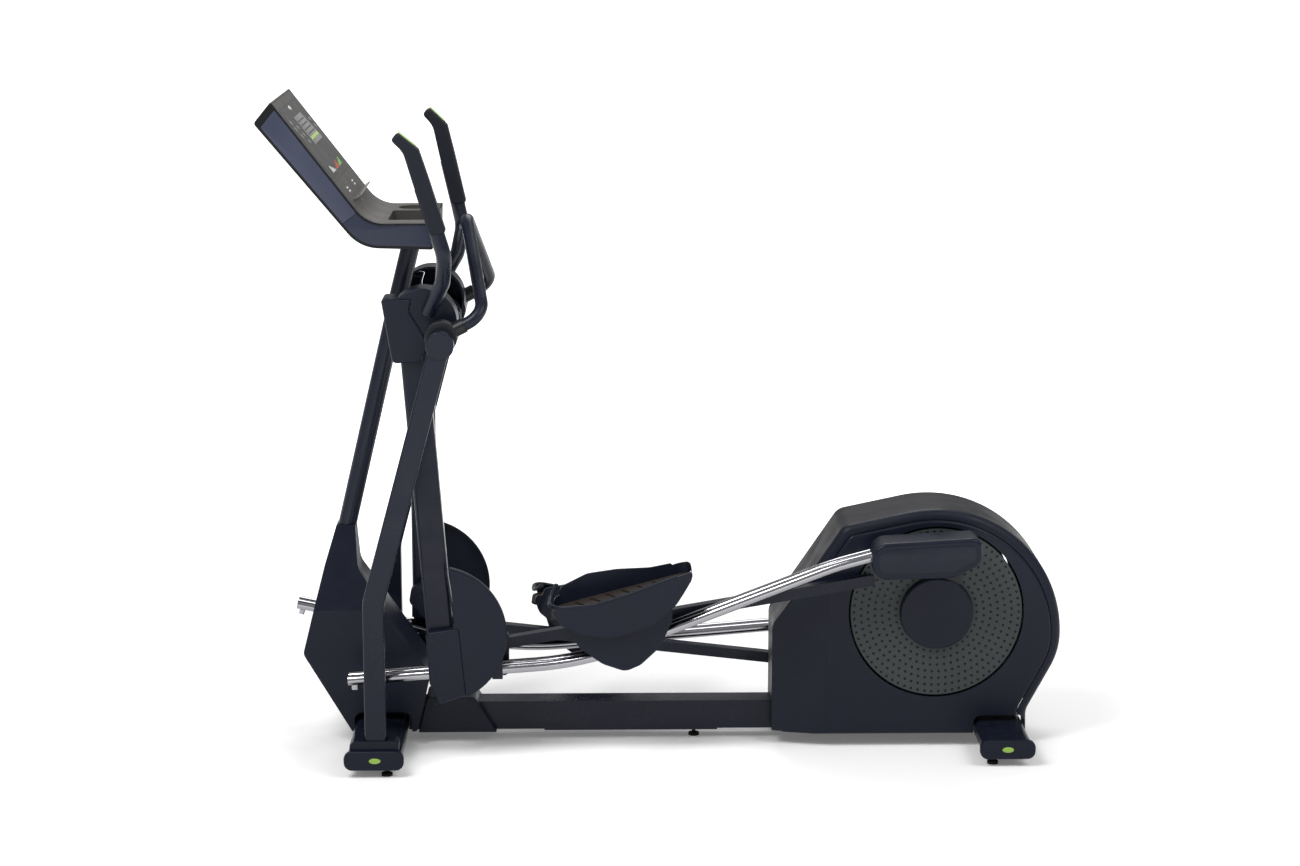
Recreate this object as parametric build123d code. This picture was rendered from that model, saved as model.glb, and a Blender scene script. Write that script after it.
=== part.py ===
from build123d import *
import math
import os

os.makedirs("parts", exist_ok=True)

# Elliptical trainer. Millimetres. X runs from the console end (negative) to the drive
# end (positive), Z is up from the floor, and Y is across. The user faces -X, so the
# left side is at negative Y. Origin: on the floor, in the middle of the footprint.
# Every left-side piece is made at negative Y and the right side is its mirror image.

# Frame
FRONT_HALF_WIDTH = 385          # front stabiliser, with its end caps
REAR_HALF_WIDTH = 315           # rear stabiliser, with its end caps
FRONT_FOOT = (-868, -708)       # X range of the front stabiliser caps
REAR_FOOT = (838, 988)          # X range of the rear stabiliser caps
CAP_LOW, CAP_HIGH = 22, 75      # Z range of the stabiliser caps
BEAM_HALF, BEAM_LOW, BEAM_HIGH = 38, 30, 110
LEG_Y = (325, 365)              # side leg, inner and outer face
MAST_DIAMETER = 50

# Rocking arms
PIVOT = (-597, 1178)            # axle that both arms rock on (X, Z)
AXLE_RADIUS = 15
LOWER_PIVOT = (-615, 364)       # pin at the bottom of the arm (X, Z)
PIN_RADIUS = 12
ARM_Y_TOP, ARM_Y_LOW = 195, 222     # centre of the arm tube above and below
ARM_DEPTH, ARM_THICKNESS = 72, 46
RIGHT_ARM_TURN = 4.6            # degrees that the right arm stands further forward

# Pedal links and guide rails
BEAM_SLAB = (151, 183)          # Y range of the pedal link
RAIL_DIAMETER, RAIL_GAP_Y = 28, 38
RAIL_Y = 222                    # middle of the pair of rails
RAIL_SLOPE = 4.2                # degrees, straight front stretch of the rails
RIGHT_LINK_TURN = 16.3          # degrees that the right link lies lower at the back
RIGHT_RAIL_ADVANCE = 88         # how far the right rails stand forward of the left ones

# Drive unit
CRANK = (734, 384)              # crank axle (X, Z)
CRANK_RADIUS = 205
CRANK_ANGLE = 71.5              # degrees of the left crank above the horizontal
DISC_RADIUS = 235
HUB_RADIUS = 99
FLYWHEEL = (430, 240)           # generator shaft (X, Z)
SHROUD_HALF = 130
WALL = 4                        # plastic shells
FIT = 0.05                      # radial clearance of a running fit


# ------------------------------------------------------------------ shape helpers

def inset(points, distance):
    """Corners of the same closed outline with every side moved inwards."""
    following = points[1:] + points[:1]
    previous = points[-1:] + points[:-1]
    area = sum(a[0] * b[1] - b[0] * a[1] for a, b in zip(points, following))
    turn = math.copysign(distance, area)
    moved = []
    for before, corner, after in zip(previous, points, following):
        normals = []
        for start, end in ((before, corner), (corner, after)):
            run, rise = end[0] - start[0], end[1] - start[1]
            length = math.hypot(run, rise)
            normals.append((-rise / length, run / length))
        (ax, az), (bx, bz) = normals
        scale = turn / (1 + ax * bx + az * bz)
        moved.append((corner[0] + (ax + bx) * scale, corner[1] + (az + bz) * scale))
    return moved


def slab(points, y_from, y_to, radii=0):
    """Closed XZ outline with rounded corners, extruded across the machine."""
    corners = [(x, y_from, z) for x, z in points]
    if isinstance(radii, (list, tuple)) or radii > 0:
        face = make_face(FilletPolyline(*corners, radius=radii, close=True))
    else:
        face = make_face(Polyline(*corners, close=True))
    return extrude(face, amount=abs(y_to - y_from), dir=(0, math.copysign(1, y_to - y_from), 0))


def barrel(centre, radius, y_from, y_to):
    """Round bar along Y."""
    x, z = centre
    return Pos(x, (y_from + y_to) / 2, z) * Rot(90, 0, 0) * Cylinder(radius, abs(y_to - y_from))


def block(x_range, y_range, z_range):
    """Box between the given limits."""
    sizes = [abs(b - a) for a, b in (x_range, y_range, z_range)]
    middle = [(a + b) / 2 for a, b in (x_range, y_range, z_range)]
    return Pos(*middle) * Box(*sizes)


def bent_bar(points, radii, diameter):
    """Round bar along straight runs joined by tangent arcs."""
    path = FilletPolyline(*points, radius=radii) if len(points) > 2 else Line(*points)
    section = Plane(origin=path @ 0, z_dir=path % 0) * Circle(diameter / 2)
    return sweep(section, path=path)


def bent_tube(points, radii, diameter, wall):
    """Round tube along straight runs joined by tangent arcs."""
    return bent_bar(points, radii, diameter) - bent_bar(points, radii, diameter - 2 * wall)


def link_outline(start, start_radius, end, end_radius, y_from, y_to):
    """Flat link with two round ends, along the outer tangents of its two circles."""
    sx, sz = start
    ex, ez = end
    length = math.hypot(ex - sx, ez - sz)
    heading = math.atan2(ez - sz, ex - sx)
    lean = math.acos((start_radius - end_radius) / length)
    corners = []
    for side in (1, -1):
        angle = heading + side * lean
        direction = (math.cos(angle), math.sin(angle))
        corners.append([(sx + start_radius * direction[0], sz + start_radius * direction[1]),
                        (ex + end_radius * direction[0], ez + end_radius * direction[1])])
    body = slab([corners[0][0], corners[0][1], corners[1][1], corners[1][0]], y_from, y_to)
    return body + barrel(start, start_radius, y_from, y_to) + barrel(end, end_radius, y_from, y_to)


def on_circle(centre, radius, degrees):
    """Point of the XZ plane at an angle above +X."""
    angle = math.radians(degrees)
    return (centre[0] + radius * math.cos(angle), centre[1] + radius * math.sin(angle))


def mirrored(shape):
    return shape.mirror(Plane.XZ)


def both_sides(shape):
    """The left piece and its mirror image, as two solids of one node."""
    return Compound(children=list(shape.solids()) + list(mirrored(shape).solids()))


def turn_about(shape, centre, degrees):
    """Turn about a Y axis. A positive angle lowers the +X side."""
    return shape.rotate(Axis((centre[0], 0, centre[1]), (0, 1, 0)), degrees)


def save(shape, node):
    solids = shape.solids()
    result = Compound(children=list(solids)) if len(solids) > 1 else solids[0]
    result.label = node
    export_step(result, f"parts/{node}.step")


# ------------------------------------------------------------------ fixed frame

def base_beam():
    """Box beam between the two stabilisers, with a wider belly plate under its middle."""
    span = (FRONT_FOOT[1] - 8, REAR_FOOT[0] + 8)
    wall = 4
    outer = block(span, (-BEAM_HALF, BEAM_HALF), (BEAM_LOW, BEAM_HIGH))
    inner = block((span[0] - 1, span[1] + 1), (-BEAM_HALF + wall, BEAM_HALF - wall),
                  (BEAM_LOW + wall, BEAM_HIGH - wall))
    plate = block((-340, 140), (-BEAM_HALF, BEAM_HALF), (BEAM_LOW - 4, BEAM_LOW))
    return outer - inner + plate


def stabiliser(foot, half_width):
    """Cross tube that carries one end of the beam."""
    low, high = CAP_LOW + 3, CAP_HIGH - 3
    inner_edge = 8
    x_range = (foot[0] + inner_edge, foot[1] - inner_edge)
    wall = 3
    end = half_width - 14
    outer = fillet(block(x_range, (-end, end), (low, high)).edges().filter_by(Axis.Y), 16)
    inner = block((x_range[0] + wall, x_range[1] - wall), (-end - 1, end + 1),
                  (low + wall, high - wall))
    inner = fillet(inner.edges().filter_by(Axis.Y), 13)
    return outer - inner


def stabiliser_end_caps():
    """Four moulded caps that close the stabilisers."""
    caps = []
    depth = 13
    for foot, half_width in ((FRONT_FOOT, FRONT_HALF_WIDTH), (REAR_FOOT, REAR_HALF_WIDTH)):
        cap = block(foot, (-half_width, -half_width + depth), (CAP_LOW, CAP_HIGH))
        cap = fillet(cap.edges().filter_by(Axis.Y), 22)
        cap = fillet(cap.faces().sort_by(Axis.Y)[0].edges(), 4)
        caps += both_sides(cap).solids()
    return Compound(children=caps)


FRONT_LEVELLER_X, REAR_LEVELLER_X = -755, 877
FRONT_LEVELLER_Y, REAR_LEVELLER_Y = 352, 275
MIDDLE_LEVELLER_X = 76


def levelling_feet():
    """Five levelling feet, each with a threaded stem and a lock nut."""
    places = [(FRONT_LEVELLER_X, -FRONT_LEVELLER_Y), (FRONT_LEVELLER_X, FRONT_LEVELLER_Y),
              (REAR_LEVELLER_X, -REAR_LEVELLER_Y), (REAR_LEVELLER_X, REAR_LEVELLER_Y)]
    solids = []
    for x, y in places:
        solids += leveller(x, y, CAP_LOW + 3).solids()
    solids += leveller(MIDDLE_LEVELLER_X, 0, BEAM_LOW - 4).solids()
    return Compound(children=solids)


def leveller(x, y, seat):
    """Rubber foot and stem as one solid; the lock nut bears on the frame above it."""
    pad_height, pad_radius = 8, 15
    nut_height, stem_radius = 6, 5
    foot = Pos(x, y, pad_height / 2) * Cylinder(pad_radius, pad_height)
    foot = fillet(foot.edges().sort_by(Axis.Z)[-1], 2)
    stem_height = seat - nut_height - pad_height
    foot += Pos(x, y, pad_height + stem_height / 2) * Cylinder(stem_radius, stem_height)
    nut_plane = Plane(origin=(x, y, seat - nut_height))
    nut = extrude(nut_plane * RegularPolygon(9, 6), amount=nut_height)
    return Compound(children=[foot.solids()[0], nut.solids()[0]])


MAST_FOOT = (-955, 287)
MAST_BEND = (-732, 1222)
MAST_TOP = (-689, 1392)


def mast():
    """Weldment: leaning mast and neck, foot plates, axle bracket and console plate."""
    points = [(x, 0, z) for x, z in (MAST_FOOT, MAST_BEND, MAST_TOP)]
    tube = bent_tube(points, 300, MAST_DIAMETER, 3)
    seat = CAP_HIGH - 3
    outline = [(-978, 300), (-925, 330), (-718, 118), (-718, seat), (-850, seat), (-960, 262)]
    inner, outer = MAST_DIAMETER / 2 - 5, MAST_DIAMETER / 2 + 3
    plate = slab(outline, -outer, -inner, [12, 20, 6, 2, 2, 20])
    cross = block((-850, -718), (-inner, inner), (seat, seat + 8))
    return tube + plate + mirrored(plate) + cross + axle_bracket() + console_plate()


def axle_bracket():
    """Two plates behind the mast that hold the middle of the arm axle."""
    outline = [(-752, 1235), (-620, 1222), (-560, 1205), (-560, 1150), (-620, 1130), (-770, 1160)]
    inner, outer = MAST_DIAMETER / 2 - 3, MAST_DIAMETER / 2 + 8
    plate = slab(outline, -outer, -inner, [6, 20, 20, 20, 20, 6])
    plate -= barrel(PIVOT, AXLE_RADIUS, -100, 0)
    return plate + mirrored(plate) + axle_sleeve(inner)


def axle_sleeve(half_length):
    sleeve = barrel(PIVOT, AXLE_RADIUS + 8, -half_length, half_length)
    return sleeve - barrel(PIVOT, AXLE_RADIUS, -half_length, half_length)


def pivot_axle():
    """Axle across the machine, from one side leg to the other."""
    end = LEG_Y[0] + 18
    return barrel(PIVOT, AXLE_RADIUS, -end, end)


def axle_spacers():
    """Tubes on the axle that keep the arms, the clamps and the legs apart."""
    tubes = []
    for start, end in ((34, 149), (237, CLAMP_Y[0])):
        tube = barrel(PIVOT, AXLE_RADIUS + 6, -start, -end) - barrel(PIVOT, AXLE_RADIUS, -20, -400)
        tubes += both_sides(tube).solids()
    return Compound(children=tubes)


LEG_HEAD = (-598, 1164)
LEG_HEAD_RADIUS = 37
LEG_BOTTOM_Z = 91


def side_leg():
    """Flat-sided tube from the front stabiliser up to the axle end."""
    inner, outer = -LEG_Y[0], -LEG_Y[1]
    half = 28
    column_x = -784
    knee = (column_x, 470)
    outline = [(column_x - half, LEG_BOTTOM_Z), (column_x + half, LEG_BOTTOM_Z),
               (column_x + half, knee[1] - 4), (LEG_HEAD[0] + half, LEG_HEAD[1]),
               (LEG_HEAD[0] - half, LEG_HEAD[1]), (column_x - half, knee[1] + 8)]
    radii = [2, 2, 110, 2, 2, 110]
    wall = 3
    tube = slab(outline, inner, outer, radii)
    tube = fillet(tube.edges().filter_by(lambda edge: abs(edge.center().Y - inner) < 1
                                         or abs(edge.center().Y - outer) < 1), 6)
    hollow = slab(inset(outline, wall), inner - wall, outer + wall, [1, 1, 107, 1, 1, 113])
    head = barrel(LEG_HEAD, LEG_HEAD_RADIUS, inner + 6, outer - 4)
    head = fillet(head.edges(), 3)
    leg = tube - hollow + head
    return leg - barrel(PIVOT, AXLE_RADIUS, inner + 20, inner - 18)


def leg_foot_pads():
    """Moulded pads on the stabiliser, each around the foot plate of a leg."""
    top, low = 99, CAP_HIGH - 3
    outline = [(-852, low), (-722, low), (-722, top - 8), (-732, top), (-842, top), (-852, top - 8)]
    pad = slab(outline, -FRONT_HALF_WIDTH + 15, -LEG_Y[0] + 10, [1, 1, 4, 6, 6, 4])
    pad -= block((-814, -754), (-LEG_Y[1] - 2, -LEG_Y[0] + 2), (LEG_BOTTOM_Z - 1, top + 1))
    return both_sides(pad)


CLAMP_Y = (278, 319)
CLAMP_HEADING = 27
GRIP_TUBE = 34


def handlebar_clamps():
    """Clamp rings on the axle, each with a socket for a fixed handlebar."""
    middle = -(CLAMP_Y[0] + CLAMP_Y[1]) / 2
    ring = barrel(PIVOT, 43, -CLAMP_Y[0], -CLAMP_Y[1])
    ring = fillet(ring.edges(), 3)
    start = on_circle(PIVOT, 20, CLAMP_HEADING)
    end = on_circle(PIVOT, 68, CLAMP_HEADING)
    socket = bent_bar([(start[0], middle, start[1]), (end[0], middle, end[1])], 0, GRIP_TUBE + 6)
    bore_start = on_circle(PIVOT, 46, CLAMP_HEADING)
    bore_end = on_circle(PIVOT, 70, CLAMP_HEADING)
    bore = bent_bar([(bore_start[0], middle, bore_start[1]), (bore_end[0], middle, bore_end[1])],
                    0, GRIP_TUBE)
    return both_sides(ring + socket - bore - barrel(PIVOT, AXLE_RADIUS, -270, -330))


HANDLEBAR_PEAK = (-542, 0, 1461)


def fixed_handlebar():
    """Loop from one clamp to the other, with its bend behind the middle of the console."""
    middle = (CLAMP_Y[0] + CLAMP_Y[1]) / 2
    start = on_circle(PIVOT, 46, CLAMP_HEADING)
    corner = on_circle(PIVOT, 125, CLAMP_HEADING)
    points = [(start[0], -middle, start[1]), (corner[0], -middle, corner[1]), HANDLEBAR_PEAK,
              (corner[0], middle, corner[1]), (start[0], middle, start[1])]
    return bent_tube(points, [55, 50, 55], GRIP_TUBE, 2.5)


# ------------------------------------------------------------------ covers

SHROUD_LEFT = [(-906, 612), (-938, 505), (-999, 262), (-868, 40), (-690, 40), (-650, 205),
               (-775, 385), (-848, 500), (-855, 612)]
SHROUD_RADII = [3, 60, 25, 12, 8, 12, 120, 60, 3]
FRONT_SHROUD_HALF = 90
TAPER_START, TAPER_END = (90, 385), (29, 612)


def taper_cut(offset):
    """Space outside the front shroud, where it narrows towards the mast."""
    (wide, low), (narrow, high) = TAPER_START, TAPER_END
    points = [(wide - offset, low), (wide + 60, low), (wide + 60, high + 20),
              (narrow - offset - 5, high + 20), (narrow - offset, high)]
    corners = [(-1100, -y, z) for y, z in points]
    return extrude(make_face(Polyline(*corners, close=True)), amount=600, dir=(1, 0, 0))


def front_shroud():
    """Left half of the cover around the foot of the mast."""
    outer = slab(SHROUD_LEFT, -FRONT_SHROUD_HALF, 0, SHROUD_RADII)
    outer -= taper_cut(0)
    low = inset(SHROUD_LEFT, WALL)
    inner = slab(low, -FRONT_SHROUD_HALF + WALL, 1) - taper_cut(WALL)
    shell = outer - inner
    arch = slab([(-862, 0), (-862, 96), (-704, 96), (-704, 0)], -200, 50, [0, 24, 24, 0])
    mast_hole = bent_bar([(MAST_FOOT[0], 0, MAST_FOOT[1]), (MAST_BEND[0], 0, MAST_BEND[1])],
                         0, MAST_DIAMETER + 1)
    beam_hole = block((-760, -640), (-BEAM_HALF - 2, 1), (0, BEAM_HIGH + 2))
    return shell - arch - mast_hole - beam_hole


def base_cover():
    """Cover over the front of the beam, behind the mast shroud."""
    outline = [(-688, 28), (-470, 28), (-532, 128), (-664, 128)]
    outer = slab(outline, -62, 62, [3, 3, 16, 12])
    outer = chamfer(outer.faces().sort_by(Axis.Y)[0].edges()
                    + outer.faces().sort_by(Axis.Y)[-1].edges(), 2.5)
    return outer - block((-700, -400), (-BEAM_HALF - 1, BEAM_HALF + 1), (0, BEAM_HIGH + 1))


DRIVE_OUTLINE = [(288, 38), (288, 339), (479, 623), (1078, 751), (1078, 267), (988, 99), (990, 38)]
DRIVE_RADII = [4, 60, 45, 350, 200, 60, 4]
SPINE_HALF = 124
PANEL_INSET = 26
NOSE_START, NOSE_END = (288, 95), (434, 130)


def nose_cut(offset):
    """Space beside the tapered nose of the drive unit, on both sides."""
    (x_from, narrow), (x_to, wide) = NOSE_START, NOSE_END
    points = [(x_from - 20, narrow - offset), (x_from, narrow - offset), (x_to, wide - offset),
              (x_to, 160), (x_from - 20, 160)]
    corners = [(x, -y, 0) for x, y in points]
    wedge = extrude(make_face(Polyline(*corners, close=True)), amount=800, dir=(0, 0, 1))
    return wedge + mirrored(wedge)


def shrunk(radii, distance):
    return [max(radius - distance, 1) for radius in radii]


def rear_foot_arch():
    """Space for the rear stabiliser tube."""
    front, back, top = REAR_FOOT[0] + 4, REAR_FOOT[1] - 4, 90
    return slab([(front, 0), (front, top), (back, top), (back, 0)], -200, 200, [0, 22, 22, 0])


def open_below(outline, height):
    """The same outline with its two bottom corners, first and last, at another height."""
    return [(outline[0][0], height)] + outline[1:-1] + [(outline[-1][0], height)]


def drive_spine_cover():
    """Moulding that wraps the front, top and back of the drive unit."""
    outer = slab(DRIVE_OUTLINE, -SPINE_HALF, SPINE_HALF, DRIVE_RADII)
    side_edges = outer.faces().sort_by(Axis.Y)[0].edges() + outer.faces().sort_by(Axis.Y)[-1].edges()
    outer = fillet([edge for edge in side_edges if edge.center().Z > 45], 22) - nose_cut(6)
    cavity = slab(inset(DRIVE_OUTLINE, WALL), -SPINE_HALF + 22, SPINE_HALF - 22,
                  [1, 56, 41, 346, 196, 64, 1])
    cavity += slab(inset(DRIVE_OUTLINE, 14), -SPINE_HALF + WALL, SPINE_HALF - WALL,
                   [1, 46, 31, 336, 186, 74, 1])
    window = slab(open_below(inset(DRIVE_OUTLINE, PANEL_INSET), 0), -200, 200,
                  [1, 50, 30, 324, 174, 86, 1])
    beam_hole = block((280, 1000), (-BEAM_HALF - 2, BEAM_HALF + 2), (0, BEAM_HIGH + 2))
    return outer - cavity - window - beam_hole - rear_foot_arch()


def drive_side_panel():
    """Left side panel of the drive unit, with the round opening for the crank disc."""
    gap = PANEL_INSET + 1.5
    radii = [2, 48, 28, 322, 172, 88, 2]
    outline = open_below(inset(DRIVE_OUTLINE, gap), DRIVE_OUTLINE[0][1])
    inner_edge = NOSE_START[1] - 7
    outer = slab(outline, -inner_edge, -SHROUD_HALF, radii)
    rim = [edge for edge in outer.faces().sort_by(Axis.Y)[0].edges() if edge.center().Z > 45]
    outer = fillet(rim, 8) - nose_cut(0)
    inner = slab(inset(outline, WALL), -inner_edge + 1, -SHROUD_HALF + WALL, shrunk(radii, WALL))
    inner -= nose_cut(WALL)
    opening = barrel(CRANK, DISC_RADIUS + 5, -90, -150)
    ring = barrel(CRANK, DISC_RADIUS + 9, -108, -SHROUD_HALF + 1) - opening
    return outer - inner - opening + ring - rear_foot_arch()


# ------------------------------------------------------------------ drive

def drive_frame():
    """Two bearing plates on a base plate, tied by cross bars."""
    half = 82
    base = block((372, 830), (-half, half), (BEAM_HIGH, BEAM_HIGH + 8))
    outline = [(600, BEAM_HIGH + 8), (830, BEAM_HIGH + 8), (800, 440), (668, 440)]
    plate = slab(outline, -half, -half + 8, [2, 2, 30, 30])
    plate -= barrel(CRANK, 31, -half - 1, -half + 9)
    generator = slab([(372, BEAM_HIGH + 8), (500, BEAM_HIGH + 8), (470, 280), (392, 280)],
                     -half, -half + 8, [2, 2, 26, 26])
    generator -= barrel(FLYWHEEL, 16, -half - 1, -half + 9)
    frame = base + plate + mirrored(plate) + generator + mirrored(generator)
    for x, z in ((640, 190), (800, 190)):
        frame += barrel((x, z), 9, -half, half)
    return frame


def shaft_bearings():
    """Four bearings pressed into the plates, for the crank axle and the flywheel shaft."""
    crank_ring = barrel(CRANK, 31, -86, -70) - barrel(CRANK, AXLE_RADIUS + FIT, -90, -60)
    shaft_ring = barrel(FLYWHEEL, 16, -84, -72) - barrel(FLYWHEEL, 12 + FIT, -90, -60)
    return Compound(children=both_sides(crank_ring).solids() + both_sides(shaft_ring).solids())


def drive_electronics():
    """Control board in its tray, on the base plate."""
    tray = block((520, 600), (-60, 60), (BEAM_HIGH + 8, BEAM_HIGH + 12))
    board = block((524, 596), (-55, 55), (BEAM_HIGH + 18, BEAM_HIGH + 20))
    for x in (530, 590):
        for y in (-48, 48):
            board += Pos(x, y, BEAM_HIGH + 15) * Cylinder(4, 6)
    for x, y, height in ((545, -30, 26), (565, 20, 18)):
        board += Pos(x, y, BEAM_HIGH + 20 + height / 2) * Cylinder(10, height)
    return tray + board


PULLEY_RADIUS, SHAFT_PULLEY_RADIUS = 165, 33
BELT_Y = (-58, -38)
BELT_THICKNESS = 3


def drive_belt():
    """Ribbed belt from the crank pulley to the flywheel shaft."""
    big, small = PULLEY_RADIUS + FIT, SHAFT_PULLEY_RADIUS + FIT
    outside = link_outline(CRANK, big + BELT_THICKNESS, FLYWHEEL, small + BELT_THICKNESS,
                           BELT_Y[0] + 2, BELT_Y[1] - 2)
    return outside - link_outline(CRANK, big, FLYWHEEL, small, BELT_Y[0], BELT_Y[1])


def drive_pulley():
    """Large pulley with three lightening windows, keyed on the crank axle."""
    pulley = barrel(CRANK, PULLEY_RADIUS, *BELT_Y)
    for turn in (30, 150, 270):
        pulley -= barrel(on_circle(CRANK, 95, turn), 42, *BELT_Y)
    return pulley - barrel(CRANK, AXLE_RADIUS, *BELT_Y)


def flywheel():
    """Generator rotor with its shaft and belt pulley, as one turned piece."""
    rotor = barrel(FLYWHEEL, 108, -26, 30) - barrel(FLYWHEEL, 84, -8, 31)
    shaft = barrel(FLYWHEEL, 12, -84, 84)
    return rotor + shaft + barrel(FLYWHEEL, SHAFT_PULLEY_RADIUS, *BELT_Y)


ARM_SLAB = (131, 143)


def crank_axle():
    """Axle with a crank arm on each end, a half turn apart."""
    axle = barrel(CRANK, AXLE_RADIUS, -ARM_SLAB[1], ARM_SLAB[1])
    left = link_outline(CRANK, 36, on_circle(CRANK, CRANK_RADIUS, CRANK_ANGLE), 27,
                        -ARM_SLAB[0], -ARM_SLAB[1])
    right = link_outline(CRANK, 36, on_circle(CRANK, CRANK_RADIUS, CRANK_ANGLE + 180), 27,
                         *ARM_SLAB)
    return axle + left + right


def crank_disc():
    """Round cover disc that turns with the crank, behind its arm."""
    disc = barrel(CRANK, DISC_RADIUS, -121, -126)
    return disc - barrel(CRANK, AXLE_RADIUS, -110, -140)


def hub_cover(crank_turn):
    """Round cap over the root of the crank arm."""
    cap = barrel(CRANK, HUB_RADIUS, -126, -150)
    cap = fillet(cap.faces().sort_by(Axis.Y)[0].edges(), 5)
    cap -= barrel(CRANK, HUB_RADIUS - WALL, -126, -146)
    slot = link_outline(CRANK, 37, on_circle(CRANK, CRANK_RADIUS, crank_turn), 28.5, -126, -144)
    return cap - slot


# ------------------------------------------------------------------ console

CONSOLE_OUTLINE = [(-1081, 1728), (-1035, 1784), (-791, 1466), (-616, 1467), (-618, 1397),
                   (-810, 1402)]
CONSOLE_RADII = [10, 4, 93, 3, 8, 107]
CONSOLE_HALF = 230
FACE_THICKNESS = 6
FACE_HALF = 214


def face_layer(depth, ends):
    """Layer under the sloping face and the shelf of the console."""
    top, knee, back = CONSOLE_OUTLINE[1:4]
    below = inset(CONSOLE_OUTLINE, depth)
    slope = math.atan2(top[1] - knee[1], knee[0] - top[0])
    down = (ends * math.cos(slope), -ends * math.sin(slope))
    points = [(top[0] + down[0], top[1] + down[1]), knee, (back[0] - ends, back[1]),
              (back[0] - ends, below[3][1]), below[2], (below[1][0] + down[0], below[1][1] + down[1])]
    return points


POCKET_X, POCKET_Y = (-742, -634), (-150, 60)
POCKET_DEPTH = 40
CUP_Y, CUP_RADIUS = 135, 44


def console_pocket(offset):
    """Shelf recess with a round cup well beyond it."""
    shelf = CONSOLE_OUTLINE[2][1]
    low, above = shelf - POCKET_DEPTH - offset, shelf + 14
    pocket = block((POCKET_X[0] - offset, POCKET_X[1] + offset),
                   (POCKET_Y[0] - offset, POCKET_Y[1] + offset), (low, above))
    pocket = fillet(pocket.edges().filter_by(Axis.Z), 14)
    cup_x = (POCKET_X[0] + POCKET_X[1]) / 2
    return pocket + Pos(cup_x, CUP_Y, (low + above) / 2) * Cylinder(CUP_RADIUS + offset, above - low)


def console_housing():
    """Hollow back moulding of the console, closed at both sides."""
    outer = slab(CONSOLE_OUTLINE, -CONSOLE_HALF, CONSOLE_HALF, CONSOLE_RADII)
    outer = fillet(outer.faces().sort_by(Axis.Y)[0].edges()
                   + outer.faces().sort_by(Axis.Y)[-1].edges(), 2.5)
    inner = slab(inset(CONSOLE_OUTLINE, WALL), -CONSOLE_HALF + WALL, CONSOLE_HALF - WALL,
                 [6, 1, 97, 1, 4, 103])
    lip = slab(face_layer(FACE_THICKNESS, 4.5), -FACE_HALF - 0.5, FACE_HALF + 0.5,
               [1, 93, 1, 1, 99, 1])
    ledge = slab(face_layer(FACE_THICKNESS + 8, 5), -CONSOLE_HALF + 2, -FACE_HALF + 12,
                 [1, 93, 1, 1, 107, 1])
    ledges = ledge + mirrored(ledge)
    above = 30 / (MAST_TOP[1] - MAST_BEND[1])
    neck_top = (MAST_TOP[0] + (MAST_TOP[0] - MAST_BEND[0]) * above, 0, MAST_TOP[1] + 30)
    neck = bent_bar([(MAST_BEND[0], 0, MAST_BEND[1]), neck_top], 0, MAST_DIAMETER)
    return outer - inner + (ledges & outer) - lip - neck


def console_plate():
    """Plate on the floor of the console, with a plug in the top of the neck."""
    floor = inset(CONSOLE_OUTLINE, WALL)
    back, front = floor[4], floor[5]
    slope = (front[1] - back[1]) / (front[0] - back[0])
    corners = [(x, back[1] + (x - back[0]) * slope) for x in (-760, -640)]
    plate = slab(corners + [(-640, 1414), (-760, 1414)], -60, 60)
    run, rise = MAST_TOP[0] - MAST_BEND[0], MAST_TOP[1] - MAST_BEND[1]
    length = math.hypot(run, rise)
    low = (MAST_TOP[0] - 20 * run / length, 0, MAST_TOP[1] - 20 * rise / length)
    high = (MAST_TOP[0] + 18 * run / length, 0, MAST_TOP[1] + 18 * rise / length)
    return plate + bent_bar([low, high], 0, MAST_DIAMETER)


def face_skin():
    """The whole face layer, from the top of the display face to the back of the shelf."""
    return slab(face_layer(FACE_THICKNESS, 5), -FACE_HALF, FACE_HALF, [1, 93, 1, 1, 99, 1])


def above_joint(gap):
    """Space around the upper face, down to its joint with the shelf moulding."""
    length = FACE_JOINT + 30 + gap
    sketch = face_plane(length / 2 - 30, -60) * Rectangle(length, 2 * CONSOLE_HALF)
    return extrude(sketch, amount=90)


def console_face():
    """Upper face moulding, around the display panel."""
    return (face_skin() & above_joint(0)) - display_window(0.3)


def console_shelf():
    """Lower face moulding: the curve down to the shelf, with its pocket and cup well."""
    shelf = CONSOLE_OUTLINE[2][1]
    wells = console_pocket(2.5) & block((-800, -600), (-250, 250), (shelf - 66, shelf))
    return face_skin() - above_joint(0.6) + wells - console_pocket(0)


FACE_TOP, FACE_KNEE = CONSOLE_OUTLINE[1], CONSOLE_OUTLINE[2]
FACE_LENGTH = math.dist(FACE_TOP, FACE_KNEE)
FACE_DOWN = ((FACE_KNEE[0] - FACE_TOP[0]) / FACE_LENGTH, (FACE_KNEE[1] - FACE_TOP[1]) / FACE_LENGTH)
FACE_OUT = (-FACE_DOWN[1], FACE_DOWN[0])


def face_plane(distance, height=0):
    """Plane on the display face, a distance down from its top edge; local X is down."""
    x = FACE_TOP[0] + FACE_DOWN[0] * distance + FACE_OUT[0] * height
    z = FACE_TOP[1] + FACE_DOWN[1] * distance + FACE_OUT[1] * height
    return Plane(origin=(x, 0, z), x_dir=(FACE_DOWN[0], 0, FACE_DOWN[1]),
                 z_dir=(FACE_OUT[0], 0, FACE_OUT[1]))


DISPLAY_AT, DISPLAY_LONG, DISPLAY_WIDE = 145, 226, 392
FACE_JOINT = 266
LEDGE_AT = 334


def display_window(grow):
    """Seat of the display panel in the face."""
    sketch = face_plane(DISPLAY_AT, 1) * RectangleRounded(DISPLAY_LONG + 2 * grow,
                                                          DISPLAY_WIDE + 2 * grow, 4)
    return extrude(sketch, amount=-3.8)


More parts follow.
